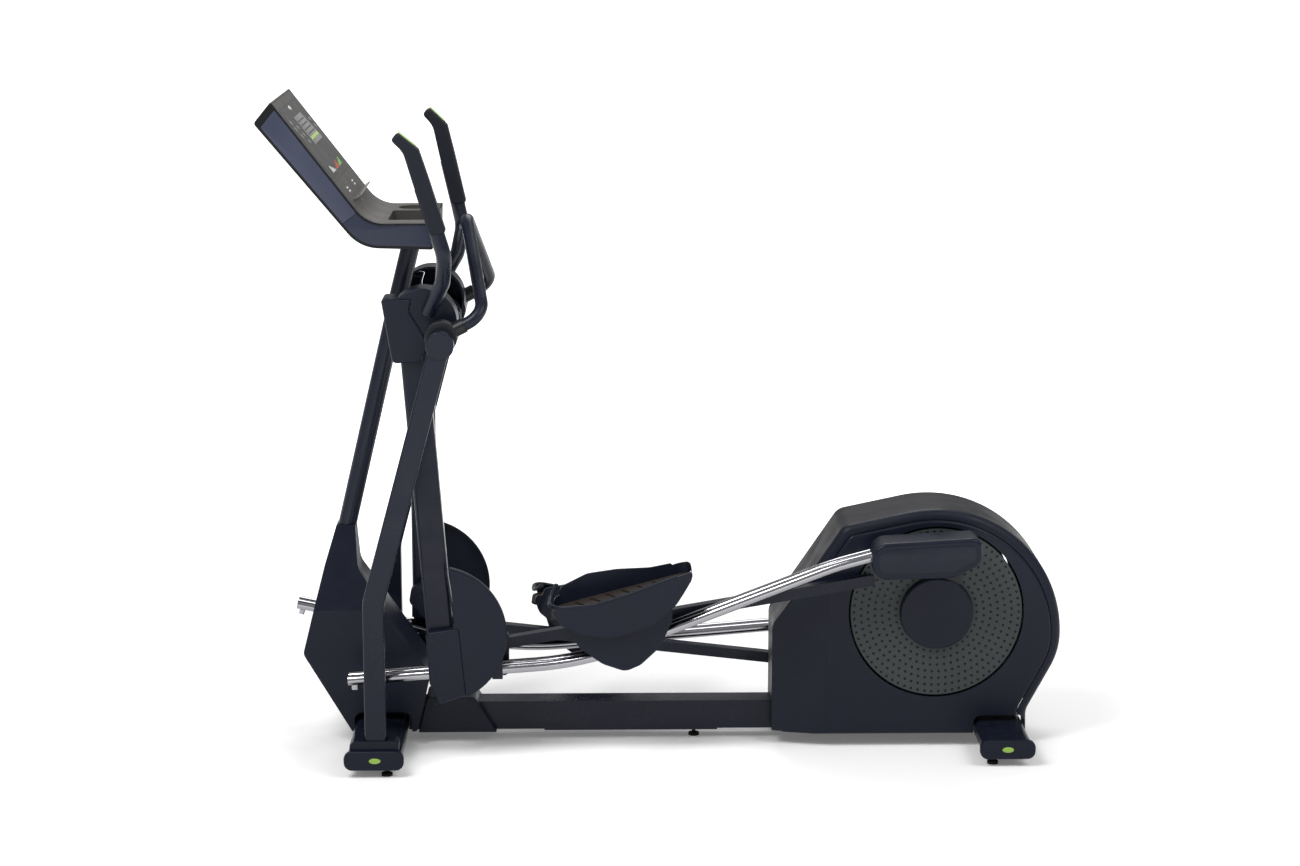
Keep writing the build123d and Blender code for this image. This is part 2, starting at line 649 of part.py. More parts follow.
def display_panel():
    """Flat display panel with printed membrane keys, set in the face."""
    sketch = face_plane(DISPLAY_AT, 0.6) * RectangleRounded(DISPLAY_LONG, DISPLAY_WIDE, 4)
    return extrude(sketch, amount=-3.4)


def reading_ledge():
    """Clear lip across the lower face, which holds a book or a tablet."""
    lip = face_plane(LEDGE_AT) * Rectangle(4, 300)
    return extrude(lip, amount=26)


def console_board():
    """Display and key board, behind the face."""
    height, thickness = -26, 2
    board = extrude(face_plane(DISPLAY_AT, height) * Rectangle(180, 330), amount=thickness)
    for along in (DISPLAY_AT - 80, DISPLAY_AT + 80):
        for across in (-150, 150):
            post = face_plane(along, height + thickness) * Pos(0, across) * Circle(4)
            board += extrude(post, amount=-height - thickness - FACE_THICKNESS)
    return board


# ------------------------------------------------------------------ rocking arm, left

ARM_TOP = (-682, 1200)
ARM_LENGTH = math.dist(ARM_TOP, LOWER_PIVOT)


def along_arm(shape):
    """An upright shape, moved onto the leaning line from the arm's top to its pin."""
    drop = ARM_TOP[1] - LOWER_PIVOT[1]
    lean = math.degrees(math.atan2(ARM_Y_LOW - ARM_Y_TOP, drop))
    heading = math.degrees(math.atan2(LOWER_PIVOT[0] - ARM_TOP[0], drop))
    middle = ((ARM_TOP[0] + LOWER_PIVOT[0]) / 2, -(ARM_Y_TOP + ARM_Y_LOW) / 2,
              (ARM_TOP[1] + LOWER_PIVOT[1]) / 2)
    return Pos(*middle) * Rot(0, -heading, 0) * Rot(-lean, 0, 0) * shape


def arm_tube_space():
    """Space of the rocking tube inside the casing and the hub."""
    return along_arm(Box(ARM_DEPTH + 0.4, ARM_THICKNESS + 0.4, ARM_LENGTH + 41))


def arm_tube():
    """Flat rocking tube from the pivot casing down to the lower pin."""
    outer = Box(ARM_DEPTH, ARM_THICKNESS, ARM_LENGTH + 40)
    outer = fillet(outer.edges().filter_by(Axis.Z), 10)
    wall = 3.5
    placed = along_arm(outer - Box(ARM_DEPTH - 2 * wall, ARM_THICKNESS - 2 * wall, ARM_LENGTH - 60))
    pin = barrel(LOWER_PIVOT, PIN_RADIUS, -BEAM_SLAB[0] - 3, -230)
    shoulder = barrel(LOWER_PIVOT, 26, -BEAM_SLAB[1] - 2, -205)
    return placed + pin + shoulder


HUB_CENTRE, HUB_DRUM_RADIUS = (-650, 1203), 92
CASING_OUTLINE = [(-760, 1271), (-676, 1268), (-684, 1235), (-632, 1150), (-655, 1098),
                  (-731, 1095)]
CASING_RADII = [10, 4, 30, 8, 14, 14]


def arm_hub():
    """Round casing around the arm's bearings on the axle, where the handle is welded."""
    inner, outer = -150, -236
    drum = barrel(HUB_CENTRE, HUB_DRUM_RADIUS, inner, outer)
    neck = barrel(PIVOT, 44, inner, outer)
    hub = drum + neck
    hub = fillet(hub.faces().sort_by(Axis.Y)[0].edges(), 4)
    wall = 6
    hollow = barrel(HUB_CENTRE, HUB_DRUM_RADIUS - wall, inner + 1, outer + wall)
    hub -= hollow - barrel(PIVOT, 30, inner, outer)
    front = slab(CASING_OUTLINE, -100, -300, CASING_RADII)
    web = slab([(-700, 1190), (-600, 1190), (-600, 1166), (-700, 1166)], inner, outer + 2)
    return hub + web - front - arm_tube_space() - barrel(PIVOT, AXLE_RADIUS + FIT, -100, -300)


def arm_casing():
    """Box casing around the top of the rocking tube."""
    points = inset(CASING_OUTLINE, 1)
    casing = slab(points, -150, -240, CASING_RADII)
    casing = fillet(casing.faces().sort_by(Axis.Y)[0].edges(), 5)
    hollow = slab(inset(points, WALL), -146, -240 + WALL, [6, 1, 34, 4, 10, 10])
    rib = slab([(-760, 1180), (-640, 1180), (-640, 1174), (-760, 1174)], -150, -238)
    return casing - hollow + (rib & casing) - arm_tube_space()


HANDLE_TUBE = 40
HANDLE_Y = 335                  # straight upper part of the rocking handle
GRIP_HALF = 23
HANDLE_PATH = [(-634, -234, 1232), (-592, -285, 1318), (-584, -HANDLE_Y, 1392),
               (-602, -HANDLE_Y, 1452), (-640, -HANDLE_Y, 1572)]


def handle_tube():
    """Bent tube from the hub out and up to the grip."""
    tube = bent_tube(HANDLE_PATH, [50, 60, 150], HANDLE_TUBE, 2.5) - arm_hub()
    return tube.solids().sort_by(SortBy.VOLUME)[-1]


def handle_grip():
    """Long flat-backed grip with a forward-leaning tip, moulded on the handle tube."""
    outline = [(-620, 1450), (-577, 1455), (-619, 1590), (-646, 1672), (-700, 1716), (-717, 1696),
               (-686, 1666), (-665, 1595)]
    inner, outer = -HANDLE_Y + GRIP_HALF, -HANDLE_Y - GRIP_HALF
    grip = slab(outline, inner, outer, [10, 10, 300, 16, 10, 10, 60, 160])
    rims = grip.faces().sort_by(Axis.Y)[0].edges() + grip.faces().sort_by(Axis.Y)[-1].edges()
    return fillet(rims, 7) - bent_bar(HANDLE_PATH[2:], [150], HANDLE_TUBE)


BLOCK_OUTLINE = [(-652, 371), (-562, 382), (-545, 197), (-620, 172), (-643, 232)]


def lower_block():
    """Casing at the foot of the arm; the rails pass through it, clear of its walls."""
    outer = slab(BLOCK_OUTLINE, -186, -278, [10, 4, 6, 14, 10])
    outer = fillet(outer.faces().sort_by(Axis.Y)[0].edges(), 5)
    passage = block((-700, -500), (-100, -261), (196, 286))
    return outer - passage - arm_tube_space() - barrel(LOWER_PIVOT, 27, -100, -240)


COVER_CENTRE = (-624, 364)
COVER_RADIUS = 190


def pivot_cover():
    """Half-round cover outside the pin and the head of the pedal link."""
    round_part = barrel(COVER_CENTRE, COVER_RADIUS, -262, -278)
    round_part = fillet(round_part.faces().sort_by(Axis.Y)[0].edges(), 6)
    top, low = BLOCK_OUTLINE[1], BLOCK_OUTLINE[2]
    front = slab([(-900, 700), (-597, 700), (-573, top[1]), top, low, (-541, 160), (-541, 100),
                  (-900, 100)], -200, -300)
    shell = round_part - barrel(COVER_CENTRE, COVER_RADIUS - WALL, -262, -274)
    skin = barrel(COVER_CENTRE, COVER_RADIUS - 1, -274, -277)
    rib = slab([(-596, 540), (-591, 540), (-569, 383), (-573, 383)], -247, -276)
    return shell + skin - front + rib


# ------------------------------------------------------------------ pedal link, left

BUSH_X = (-475, -447)


def rail_height(x):
    """Height of the straight front stretch of the rails."""
    return 231 + (x + 864) * math.tan(math.radians(RAIL_SLOPE))


def pedal_link():
    """Bar from the lower pin to the back, with a head plate and the rail bushes' housing."""
    inner, outer = -BEAM_SLAB[0], -BEAM_SLAB[1]
    slope = math.tan(math.radians(9.75))
    front, back = -560, 560
    half = 15

    def bar_height(x):
        return 317 + (x + 433) * slope

    bar = slab([(front, bar_height(front) - half), (back, bar_height(back) - half),
                (back, bar_height(back) + half), (front, bar_height(front) + half)],
               inner, outer, [4, 12, 12, 4])
    wall = 4
    bar -= slab([(-420, bar_height(-420) - half + wall), (540, bar_height(540) - half + wall),
                 (540, bar_height(540) + half - wall), (-420, bar_height(-420) + half - wall)],
                inner - wall, outer + wall)
    head = slab([(-655, 372), (-615, 404), (-575, 392), (-432, 345), (-432, 228), (-484, 222),
                 (-560, 275), (-650, 330)], inner, outer, [20, 22, 20, 24, 14, 14, 40, 20])
    low, high = rail_height(BUSH_X[0]) - 22, rail_height(BUSH_X[1]) + 22
    housing = block(BUSH_X, (outer, -RAIL_Y - 37), (low, high))
    link = bar + head + housing + pedal_bracket()
    for tube in rails_at(RAIL_DIAMETER + 2 * FIT):
        link -= tube
    return link - barrel(LOWER_PIVOT, PIN_RADIUS + FIT, -100, -200)


RAIL_BEND, RAIL_RISE, RAIL_END = (-230, 277.5), (450, 541), (596, 580)


def rails_at(diameter, start=-864):
    """The two rails of a pair, as round bars of the given diameter."""
    tubes = []
    for side in (-0.5, 0.5):
        y = -RAIL_Y + side * RAIL_GAP_Y
        points = [(start, y, rail_height(start)), (RAIL_BEND[0], y, rail_height(RAIL_BEND[0])),
                  (RAIL_RISE[0], y, RAIL_RISE[1]), (RAIL_END[0], y, RAIL_END[1])]
        tubes.append(bent_bar(points, [860, 700], diameter))
    return tubes


def guide_rails():
    """Two polished tubes side by side, closed in front, with a stop under the front ends."""
    wall, end_cap = 3, 14
    first, second = rails_at(RAIL_DIAMETER)
    first_bore, second_bore = rails_at(RAIL_DIAMETER - 2 * wall, -864 + end_cap)
    rails = first - first_bore + (second - second_bore)
    stop_x = -846
    stop = block((stop_x - 8, stop_x + 8), (-RAIL_Y - 25, -RAIL_Y + 25),
                 (rail_height(stop_x) - 26, rail_height(stop_x) - 12))
    stop = fillet(stop.edges().filter_by(Axis.Z), 3)
    return rails + (stop - first - second)


def link_cover():
    """Long rounded cover over the back end of the rails, with the crank pin boss."""
    inner, outer = -187, -287
    cover = slab([(536, 611), (548, 512), (760, 517), (838, 558), (834, 628)], inner, outer,
                 [44, 40, 70, 34, 26])
    cover = fillet(cover.faces().sort_by(Axis.Y)[0].edges(), 10)
    for tube in rails_at(RAIL_DIAMETER):
        cover -= tube
    hollow = slab([(620, 602), (620, 530), (752, 530), (815, 566), (815, 614)], inner - 12,
                  outer + 12, [8, 8, 20, 10, 10])
    pin = barrel(on_circle(CRANK, CRANK_RADIUS, CRANK_ANGLE), 16, -146, inner - 12)
    return cover - hollow + pin


# ------------------------------------------------------------------ pedal, left

PEDAL_Y = (166, 316)
PEDAL_OUTLINE = [(-320, 446), (-215, 451), (-97, 488), (20, 533), (66, 545), (60, 520), (16, 452),
                 (-50, 396), (-150, 366), (-232, 374), (-290, 400)]
PEDAL_RADII = [14, 200, 600, 120, 10, 30, 100, 160, 160, 60, 40]
PEDAL_LONG, PEDAL_CENTRE_X = 394, -128
FLOOR_FRONT, FLOOR_REAR = (-380, 392), (100, 520)       # top of the pedal floor
FLOOR_SLOPE = (FLOOR_REAR[1] - FLOOR_FRONT[1]) / (FLOOR_REAR[0] - FLOOR_FRONT[0])
FLOOR_THICKNESS = 6
PEDAL_WALL = 8


def floor_height(x, below=0):
    """Top of the pedal floor, or a height below it."""
    return FLOOR_FRONT[1] + (x - FLOOR_FRONT[0]) * FLOOR_SLOPE - below


def pedal_plan(margin):
    """Upright prism of the pedal's rounded plan, smaller by a margin on every side."""
    inner, outer = PEDAL_Y
    plan = RectangleRounded(PEDAL_LONG - 2 * margin, outer - inner - 2 * margin, 46 - margin)
    return Pos(PEDAL_CENTRE_X, -(inner + outer) / 2, 0) * extrude(plan, amount=700)


def pedal_tray():
    """Boat-shaped pedal body: a sloping floor with walls above and below it."""
    inner, outer = -PEDAL_Y[0], -PEDAL_Y[1]
    hull = slab(PEDAL_OUTLINE, inner, outer, PEDAL_RADII)
    guard = slab([(-296, 420), (10, 508), (14, 536), (-50, 523), (-140, 519), (-220, 507),
                  (-292, 470)], inner, inner - PEDAL_WALL, [4, 4, 8, 80, 80, 60, 16])
    under = floor_height(-400, FLOOR_THICKNESS), floor_height(100, FLOOR_THICKNESS)
    above = slab([FLOOR_FRONT, FLOOR_REAR, (100, 700), (-380, 700)], inner, outer)
    below = slab([(-400, under[0]), (100, under[1]), (100, 200), (-400, 200)], inner, outer)
    hollow = (above & pedal_plan(PEDAL_WALL)) + (below & pedal_plan(PEDAL_WALL - 2))
    tray = (hull + guard) & pedal_plan(0)
    return (tray - hollow - pedal_link()).solids().sort_by(SortBy.VOLUME)[-1]


SLOT_COUNT, SLOT_PITCH, SLOT_SLANT = 8, 42, 24


def pedal_tread():
    """Rubber tread on the floor of the pedal, with slanted slots across it."""
    thickness = 7
    layer = slab([FLOOR_FRONT, FLOOR_REAR, (100, FLOOR_REAR[1] + thickness),
                  (-380, FLOOR_FRONT[1] + thickness)], -PEDAL_Y[0], -PEDAL_Y[1])
    tread = layer & pedal_plan(PEDAL_WALL + 2)
    tilt = math.degrees(math.atan(FLOOR_SLOPE))
    middle = -(PEDAL_Y[0] + PEDAL_Y[1]) / 2
    for step in range(SLOT_COUNT):
        x = PEDAL_CENTRE_X + (step - (SLOT_COUNT - 1) / 2) * SLOT_PITCH
        slot = Rot(0, -tilt, 0) * Rot(0, 0, SLOT_SLANT) * Box(9, 104, 8)
        tread -= Pos(x, middle, floor_height(x) + thickness) * slot
    return tread


def pedal_skirt():
    """Guard plate under the pedal that hides the rails."""
    front, back = -274, 10
    top = [(x, floor_height(x, FLOOR_THICKNESS)) for x in (back, front)]
    outline = [(front + 2, 381), (-240, 331), (-178, 287), (-117, 266), (-76, 284), (-22, 335),
               (back - 2, 406)]
    return slab(top + outline, -278, -290, [1, 1, 20, 60, 60, 40, 50, 60, 20])


def pedal_bracket():
    """Shelf on the link that carries the pedal floor, above the rails."""
    inner, outer = -BEAM_SLAB[0], -BEAM_SLAB[1]
    front, back = -210, -60
    plate = 6
    top = [(x, floor_height(x, FLOOR_THICKNESS)) for x in (back, front)]
    shelf = slab(top + [(x, z - plate) for x, z in reversed(top)], inner - 17, -258)
    web_outline = [(front, 368), (back, 394), (back, top[0][1] - plate), (front, top[1][1] - plate)]
    webs = slab(web_outline, inner - 17, inner - 17 - plate)
    webs += slab(web_outline, outer, outer + plate)
    return shelf + webs


# ------------------------------------------------------------------ assembly

def right_arm(shape):
    """Mirror image of a rocking-arm piece, at the right arm's place."""
    return turn_about(mirrored(shape), PIVOT, RIGHT_ARM_TURN)


def right_link(shape, advance=0):
    """Mirror image of a link piece, turned about the lower pin and moved with the arm."""
    slope = math.radians(RAIL_SLOPE)
    moved = mirrored(shape).translate((-advance * math.cos(slope), 0, -advance * math.sin(slope)))
    turned = turn_about(moved, LOWER_PIVOT, RIGHT_LINK_TURN)
    turn = math.radians(RIGHT_ARM_TURN)
    run, rise = LOWER_PIVOT[0] - PIVOT[0], LOWER_PIVOT[1] - PIVOT[1]
    new_x = PIVOT[0] + run * math.cos(turn) + rise * math.sin(turn)
    new_z = PIVOT[1] - run * math.sin(turn) + rise * math.cos(turn)
    return turned.translate((new_x - LOWER_PIVOT[0], 0, new_z - LOWER_PIVOT[1]))


def build_frame():
    save(base_beam(), "base_beam")
    for name, foot, half in (("front", FRONT_FOOT, FRONT_HALF_WIDTH),
                             ("rear", REAR_FOOT, REAR_HALF_WIDTH)):
        save(stabiliser(foot, half), f"{name}_stabiliser")
    save(stabiliser_end_caps(), "stabiliser_end_caps")
    save(levelling_feet(), "levelling_feet")
    save(mast(), "mast")
    save(pivot_axle(), "pivot_axle")
    save(axle_spacers(), "axle_spacers")
    leg = side_leg()
    save(leg, "side_leg_left")
    save(mirrored(leg), "side_leg_right")
    save(leg_foot_pads(), "leg_foot_pads")
    save(handlebar_clamps(), "handlebar_clamps")
    save(fixed_handlebar(), "fixed_handlebar")


def build_covers():
    shroud = front_shroud()
    save(shroud, "mast_shroud_left")
    save(mirrored(shroud), "mast_shroud_right")
    save(base_cover(), "base_cover")
    save(drive_spine_cover(), "drive_spine_cover")
    panel = drive_side_panel()
    save(panel, "drive_side_left")
    save(mirrored(panel), "drive_side_right")


def build_drive():
    save(drive_frame(), "drive_frame")
    save(shaft_bearings(), "shaft_bearings")
    save(drive_electronics(), "drive_electronics")
    save(drive_belt(), "drive_belt")
    save(drive_pulley(), "drive_pulley")
    save(flywheel(), "flywheel")
    save(crank_axle(), "crank_axle")
    save(both_sides(crank_disc()), "crank_discs")
    left, right = hub_cover(CRANK_ANGLE), mirrored(hub_cover(CRANK_ANGLE + 180))
    save(Compound(children=[left.solids()[0], right.solids()[0]]), "hub_covers")


def build_console():
    save(console_housing(), "console_housing")
    save(console_face(), "console_face")
    save(console_shelf(), "console_shelf")
    save(display_panel(), "display_panel")
    save(reading_ledge(), "reading_ledge")
    save(console_board(), "console_board")


def build_sides():
    arm_pieces = {"arm_tube": arm_tube(), "arm_hub": arm_hub(), "arm_casing": arm_casing(),
                  "handle_tube": handle_tube(), "handle_grip": handle_grip(),
                  "lower_block": lower_block(), "pivot_cover": pivot_cover()}
    for name, shape in arm_pieces.items():
        save(shape, f"{name}_left")
        save(right_arm(shape), f"{name}_right")
    link_pieces = {"pedal_link": pedal_link(), "pedal_tray": pedal_tray(),
                   "pedal_tread": pedal_tread(), "pedal_skirt": pedal_skirt()}
    for name, shape in link_pieces.items():
        save(shape, f"{name}_left")
        save(right_link(shape), f"{name}_right")
    for name, shape in {"guide_rails": guide_rails(), "link_cover": link_cover()}.items():
        save(shape, f"{name}_left")
        save(right_link(shape, RIGHT_RAIL_ADVANCE), f"{name}_right")


build_frame()
build_covers()
build_drive()
build_console()
build_sides()
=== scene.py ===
import math

import bmesh
import bpy
from mathutils import Matrix, Vector


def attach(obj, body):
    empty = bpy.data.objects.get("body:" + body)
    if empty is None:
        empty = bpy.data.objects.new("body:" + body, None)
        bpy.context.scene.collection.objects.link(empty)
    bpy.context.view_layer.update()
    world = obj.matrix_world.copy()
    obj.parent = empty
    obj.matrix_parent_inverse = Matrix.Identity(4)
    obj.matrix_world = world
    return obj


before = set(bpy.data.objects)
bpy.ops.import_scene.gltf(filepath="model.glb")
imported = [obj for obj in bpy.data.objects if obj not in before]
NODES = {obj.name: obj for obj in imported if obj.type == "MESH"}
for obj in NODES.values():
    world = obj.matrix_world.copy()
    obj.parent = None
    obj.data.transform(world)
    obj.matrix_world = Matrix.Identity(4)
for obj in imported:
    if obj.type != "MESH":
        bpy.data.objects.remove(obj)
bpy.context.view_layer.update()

# Elliptical trainer, in metres, in the CAD's frame: +X is the drive end, -X the console,
# -Y the user's left, +Z up. Pieces of the right side are the left ones mirrored and moved.

PIVOT = (-0.597, 1.178)             # axle of the rocking arms (X, Z)
LOWER_PIVOT = (-0.615, 0.364)       # pin at the foot of the left arm
CRANK = (0.734, 0.384)
RIGHT_ARM_TURN = math.radians(4.6)
RIGHT_LINK_TURN = math.radians(16.3)
RAIL_SLOPE = math.radians(4.2)
RIGHT_RAIL_ADVANCE = 0.088


# ------------------------------------------------------------------ where pieces go

def turn_about(centre, angle):
    """Turn about a Y axis. A positive angle lowers the +X side."""
    place = Matrix.Translation((centre[0], 0, centre[1]))
    return place @ Matrix.Rotation(angle, 4, "Y") @ place.inverted()


MIRROR = Matrix.Diagonal((1, -1, 1, 1))
RIGHT_ARM = turn_about(PIVOT, RIGHT_ARM_TURN) @ MIRROR
pin = Vector((LOWER_PIVOT[0], 0, LOWER_PIVOT[1]))
pin_moved = turn_about(PIVOT, RIGHT_ARM_TURN) @ pin
RIGHT_LINK = Matrix.Translation(pin_moved - pin) @ turn_about(LOWER_PIVOT, RIGHT_LINK_TURN) @ MIRROR
advance = Vector((-math.cos(RAIL_SLOPE), 0, -math.sin(RAIL_SLOPE))) * RIGHT_RAIL_ADVANCE
RIGHT_RAIL = RIGHT_LINK @ Matrix.Translation(advance)
SIDES = {
    "arm": (("left", Matrix.Identity(4)), ("right", RIGHT_ARM)),
    "link": (("left", Matrix.Identity(4)), ("right", RIGHT_LINK)),
    "rail": (("left", Matrix.Identity(4)), ("right", RIGHT_RAIL)),
    "frame": (("left", Matrix.Identity(4)), ("right", MIRROR)),
    "crank": (("left", Matrix.Identity(4)), ("right", MIRROR)),
}
BODY_NAMES = {"arm": "swing_{}_body", "link": "link_{}_body", "rail": "rail_{}_body",
              "frame": "frame", "crank": "crank"}


# ------------------------------------------------------------------ materials

def node(tree, kind, **values):
    """A shader node with its properties and its inputs' values set."""
    made = tree.nodes.new(kind)
    for name, value in values.items():
        if hasattr(made, name) and name not in made.inputs:
            setattr(made, name, value)
        else:
            made.inputs[name].default_value = value
    return made


def mix_colour(tree, factor, first, second):
    """Mix of two colours, each a value or a socket, by a socket."""
    mixer = node(tree, "ShaderNodeMix", data_type="RGBA")
    tree.links.new(factor, mixer.inputs[0])
    for socket, colour in ((mixer.inputs[6], first), (mixer.inputs[7], second)):
        if isinstance(colour, bpy.types.NodeSocket):
            tree.links.new(colour, socket)
        else:
            socket.default_value = (*colour, 1)
    return mixer.outputs[2]


def noise(tree, scale, detail=3.0, stretch=None):
    """Noise over the object's own coordinates, in metres."""
    where = node(tree, "ShaderNodeTexCoord").outputs["Object"]
    if stretch:
        mapping = node(tree, "ShaderNodeMapping")
        mapping.inputs["Scale"].default_value = stretch
        tree.links.new(where, mapping.inputs["Vector"])
        where = mapping.outputs["Vector"]
    texture = node(tree, "ShaderNodeTexNoise")
    texture.inputs["Scale"].default_value = scale
    texture.inputs["Detail"].default_value = detail
    tree.links.new(where, texture.inputs["Vector"])
    return texture.outputs["Fac"]


def ranged(tree, value, low, high, source=(0.3, 0.7)):
    """A socket's value, mapped from the noise's usual range."""
    mapped = node(tree, "ShaderNodeMapRange")
    tree.links.new(value, mapped.inputs["Value"])
    mapped.inputs["From Min"].default_value = source[0]
    mapped.inputs["From Max"].default_value = source[1]
    mapped.inputs["To Min"].default_value = low
    mapped.inputs["To Max"].default_value = high
    return mapped.outputs["Result"]


def edge_mask(tree, radius):
    """1 on the sharp edges of the piece, 0 elsewhere."""
    bevel = node(tree, "ShaderNodeBevel", samples=6)
    bevel.inputs["Radius"].default_value = radius
    geometry = node(tree, "ShaderNodeNewGeometry")
    dot = node(tree, "ShaderNodeVectorMath", operation="DOT_PRODUCT")
    tree.links.new(bevel.outputs["Normal"], dot.inputs[0])
    tree.links.new(geometry.outputs["Normal"], dot.inputs[1])
    return ranged(tree, dot.outputs["Value"], 1.0, 0.0, (0.86, 0.99))


def surface(name, colour, roughness, metallic=0.0, grain=900.0, bump=0.08, mottle=0.18,
            spread=0.08, wear=(1.5, 0.3), coat=0.0, stretch=None, specular=0.5, transmission=0.0):
    """Procedural finish: mottled colour, grain in the surface, uneven gloss, paler worn edges."""
    material = bpy.data.materials.new(name)
    material.use_nodes = True
    tree = material.node_tree
    shader = tree.nodes["Principled BSDF"]
    shader.inputs["Metallic"].default_value = metallic
    shader.inputs["Specular IOR Level"].default_value = specular
    shader.inputs["Coat Weight"].default_value = coat
    shader.inputs["Transmission Weight"].default_value = transmission
    dark = tuple(channel * (1 - mottle) for channel in colour)
    light = tuple(channel * (1 + mottle) for channel in colour)
    body = mix_colour(tree, noise(tree, 7.0, 4.0), dark, light)
    brighter, amount = wear
    worn = tuple(min(channel * brighter + 0.01, 1.0) for channel in colour)
    scratches = ranged(tree, noise(tree, 60.0, 2.0), 0.3, 1.0)
    edge = node(tree, "ShaderNodeMath", operation="MULTIPLY")
    tree.links.new(edge_mask(tree, 0.0015), edge.inputs[0])
    tree.links.new(scratches, edge.inputs[1])
    limited = node(tree, "ShaderNodeMath", operation="MULTIPLY")
    tree.links.new(edge.outputs[0], limited.inputs[0])
    limited.inputs[1].default_value = amount
    tree.links.new(mix_colour(tree, limited.outputs[0], body, worn), shader.inputs["Base Color"])
    gloss = ranged(tree, noise(tree, 14.0, 5.0, stretch), roughness - spread, roughness + spread)
    tree.links.new(gloss, shader.inputs["Roughness"])
    relief = node(tree, "ShaderNodeBump")
    relief.inputs["Strength"].default_value = bump
    relief.inputs["Distance"].default_value = 0.0004
    tree.links.new(noise(tree, grain, 2.0, stretch), relief.inputs["Height"])
    tree.links.new(relief.outputs["Normal"], shader.inputs["Normal"])
    return material


NAVY_PAINT = surface("navy_paint", (0.0070, 0.0090, 0.0180), 0.30, bump=0.05, specular=0.20)
NAVY_PLASTIC = surface("navy_plastic", (0.0066, 0.0086, 0.0170), 0.36, bump=0.12, specular=0.16)
# One blue console panel in two shades: the upper is painted light, the lower painted shade.
PANEL_UPPER_PAINTED_LIT = surface("panel_upper_painted_lit", (0.032, 0.038, 0.064), 0.36, bump=0.10, specular=0.25)
PANEL_LOWER_PAINTED_SHADE = surface("panel_lower_painted_shade", (0.016, 0.020, 0.037), 0.36, bump=0.10, specular=0.25)
BLACK_PLASTIC = surface("black_plastic", (0.0032, 0.0036, 0.0050), 0.36, bump=0.10, specular=0.20)
SPINE_PAINTED_LIT_TOP = surface("spine_painted_lit_top", (0.0095, 0.0100, 0.0130), 0.46, bump=0.14, specular=0.16)
# Paler grey painted on the spine's top as painted overhead light; its sides get navy.
DISC_GREY = surface("disc_grey", (0.034, 0.040, 0.041), 0.50, bump=0.08, specular=0.22)
FACE_GREY = surface("face_grey", (0.052, 0.049, 0.045), 0.52, bump=0.12, specular=0.25)
BEZEL_GREY = surface("bezel_grey", (0.030, 0.029, 0.028), 0.40, bump=0.06, specular=0.30)
TREAD = surface("tread", (0.030, 0.024, 0.021), 0.74, grain=500.0, bump=0.25, specular=0.15)
RUBBER = surface("rubber", (0.0052, 0.0066, 0.0120), 0.58, grain=700.0, bump=0.2, specular=0.20)
FOOT_RUBBER = surface("foot_rubber", (0.009, 0.009, 0.009), 0.75, grain=500.0, bump=0.3, specular=0.2)
CHROME = surface("chrome", (0.34, 0.34, 0.36), 0.13, metallic=1.0, bump=0.02, mottle=0.10,
                 spread=0.05, stretch=(1, 6, 6))
STEEL = surface("steel", (0.30, 0.30, 0.31), 0.32, metallic=1.0, bump=0.05, mottle=0.08)
BLACK_STEEL = surface("black_steel", (0.0065, 0.0072, 0.0100), 0.38, bump=0.06, specular=0.28)
IRON = surface("iron", (0.10, 0.10, 0.105), 0.55, metallic=0.8, grain=300.0, bump=0.3)
BELT = surface("belt", (0.012, 0.012, 0.012), 0.7, bump=0.3)
BOARD = surface("board", (0.02, 0.12, 0.05), 0.5)
BADGE_GREEN = surface("badge_green", (0.22, 0.38, 0.045), 0.35, coat=0.3)
PALE_GREEN = surface("pale_green", (0.30, 0.44, 0.16), 0.45)
# Pale grey for the grip's ribs, a painted highlight of glossy ribbed rubber.
RIB_PAINTED_HIGHLIGHT = surface("rib_painted_highlight", (0.42, 0.43, 0.43), 0.5)
LCD = surface("lcd", (0.115, 0.125, 0.120), 0.20, coat=0.5, bump=0.01)
LCD_LIT = surface("lcd_lit", (0.42, 0.60, 0.12), 0.4)
KEY_GREY = surface("key_grey", (0.16, 0.16, 0.155), 0.45)
PRINT_WHITE = surface("print_white", (0.50, 0.50, 0.48), 0.5)
PRINT_RED = surface("print_red", (0.42, 0.07, 0.04), 0.5)
PRINT_GREEN = surface("print_green", (0.20, 0.38, 0.07), 0.5)
CLEAR = surface("clear", (0.30, 0.31, 0.29), 0.15, transmission=0.7, bump=0.02, coat=0.3)


def paint_lit_top_and_sides(material, colour, half_width, groove):
    """Paint the piece's outer sides in a second colour, past a dark groove line; the middle keeps its
    first colour, a painted highlight where the top faces the light.
    """
    tree = material.node_tree
    shader = tree.nodes["Principled BSDF"]
    first = shader.inputs["Base Color"].links[0].from_socket
    where = node(tree, "ShaderNodeTexCoord").outputs["Object"]
    parts = node(tree, "ShaderNodeSeparateXYZ")
    tree.links.new(where, parts.inputs[0])
    distance = node(tree, "ShaderNodeMath", operation="ABSOLUTE")
    tree.links.new(parts.outputs["Y"], distance.inputs[0])
    limits = []
    for value in (half_width, half_width + groove):
        step = node(tree, "ShaderNodeMath", operation="GREATER_THAN")
        tree.links.new(distance.outputs[0], step.inputs[0])
        step.inputs[1].default_value = value
        limits.append(step.outputs[0])
    grooved = mix_colour(tree, limits[0], first, (0.003, 0.003, 0.004))
    tree.links.new(mix_colour(tree, limits[1], grooved, colour), shader.inputs["Base Color"])


# The spine's top is painted paler grey as painted overhead light; its sides are navy past a dark
# groove.
paint_lit_top_and_sides(SPINE_PAINTED_LIT_TOP, (0.0066, 0.0086, 0.0170), 0.104, 0.0016)

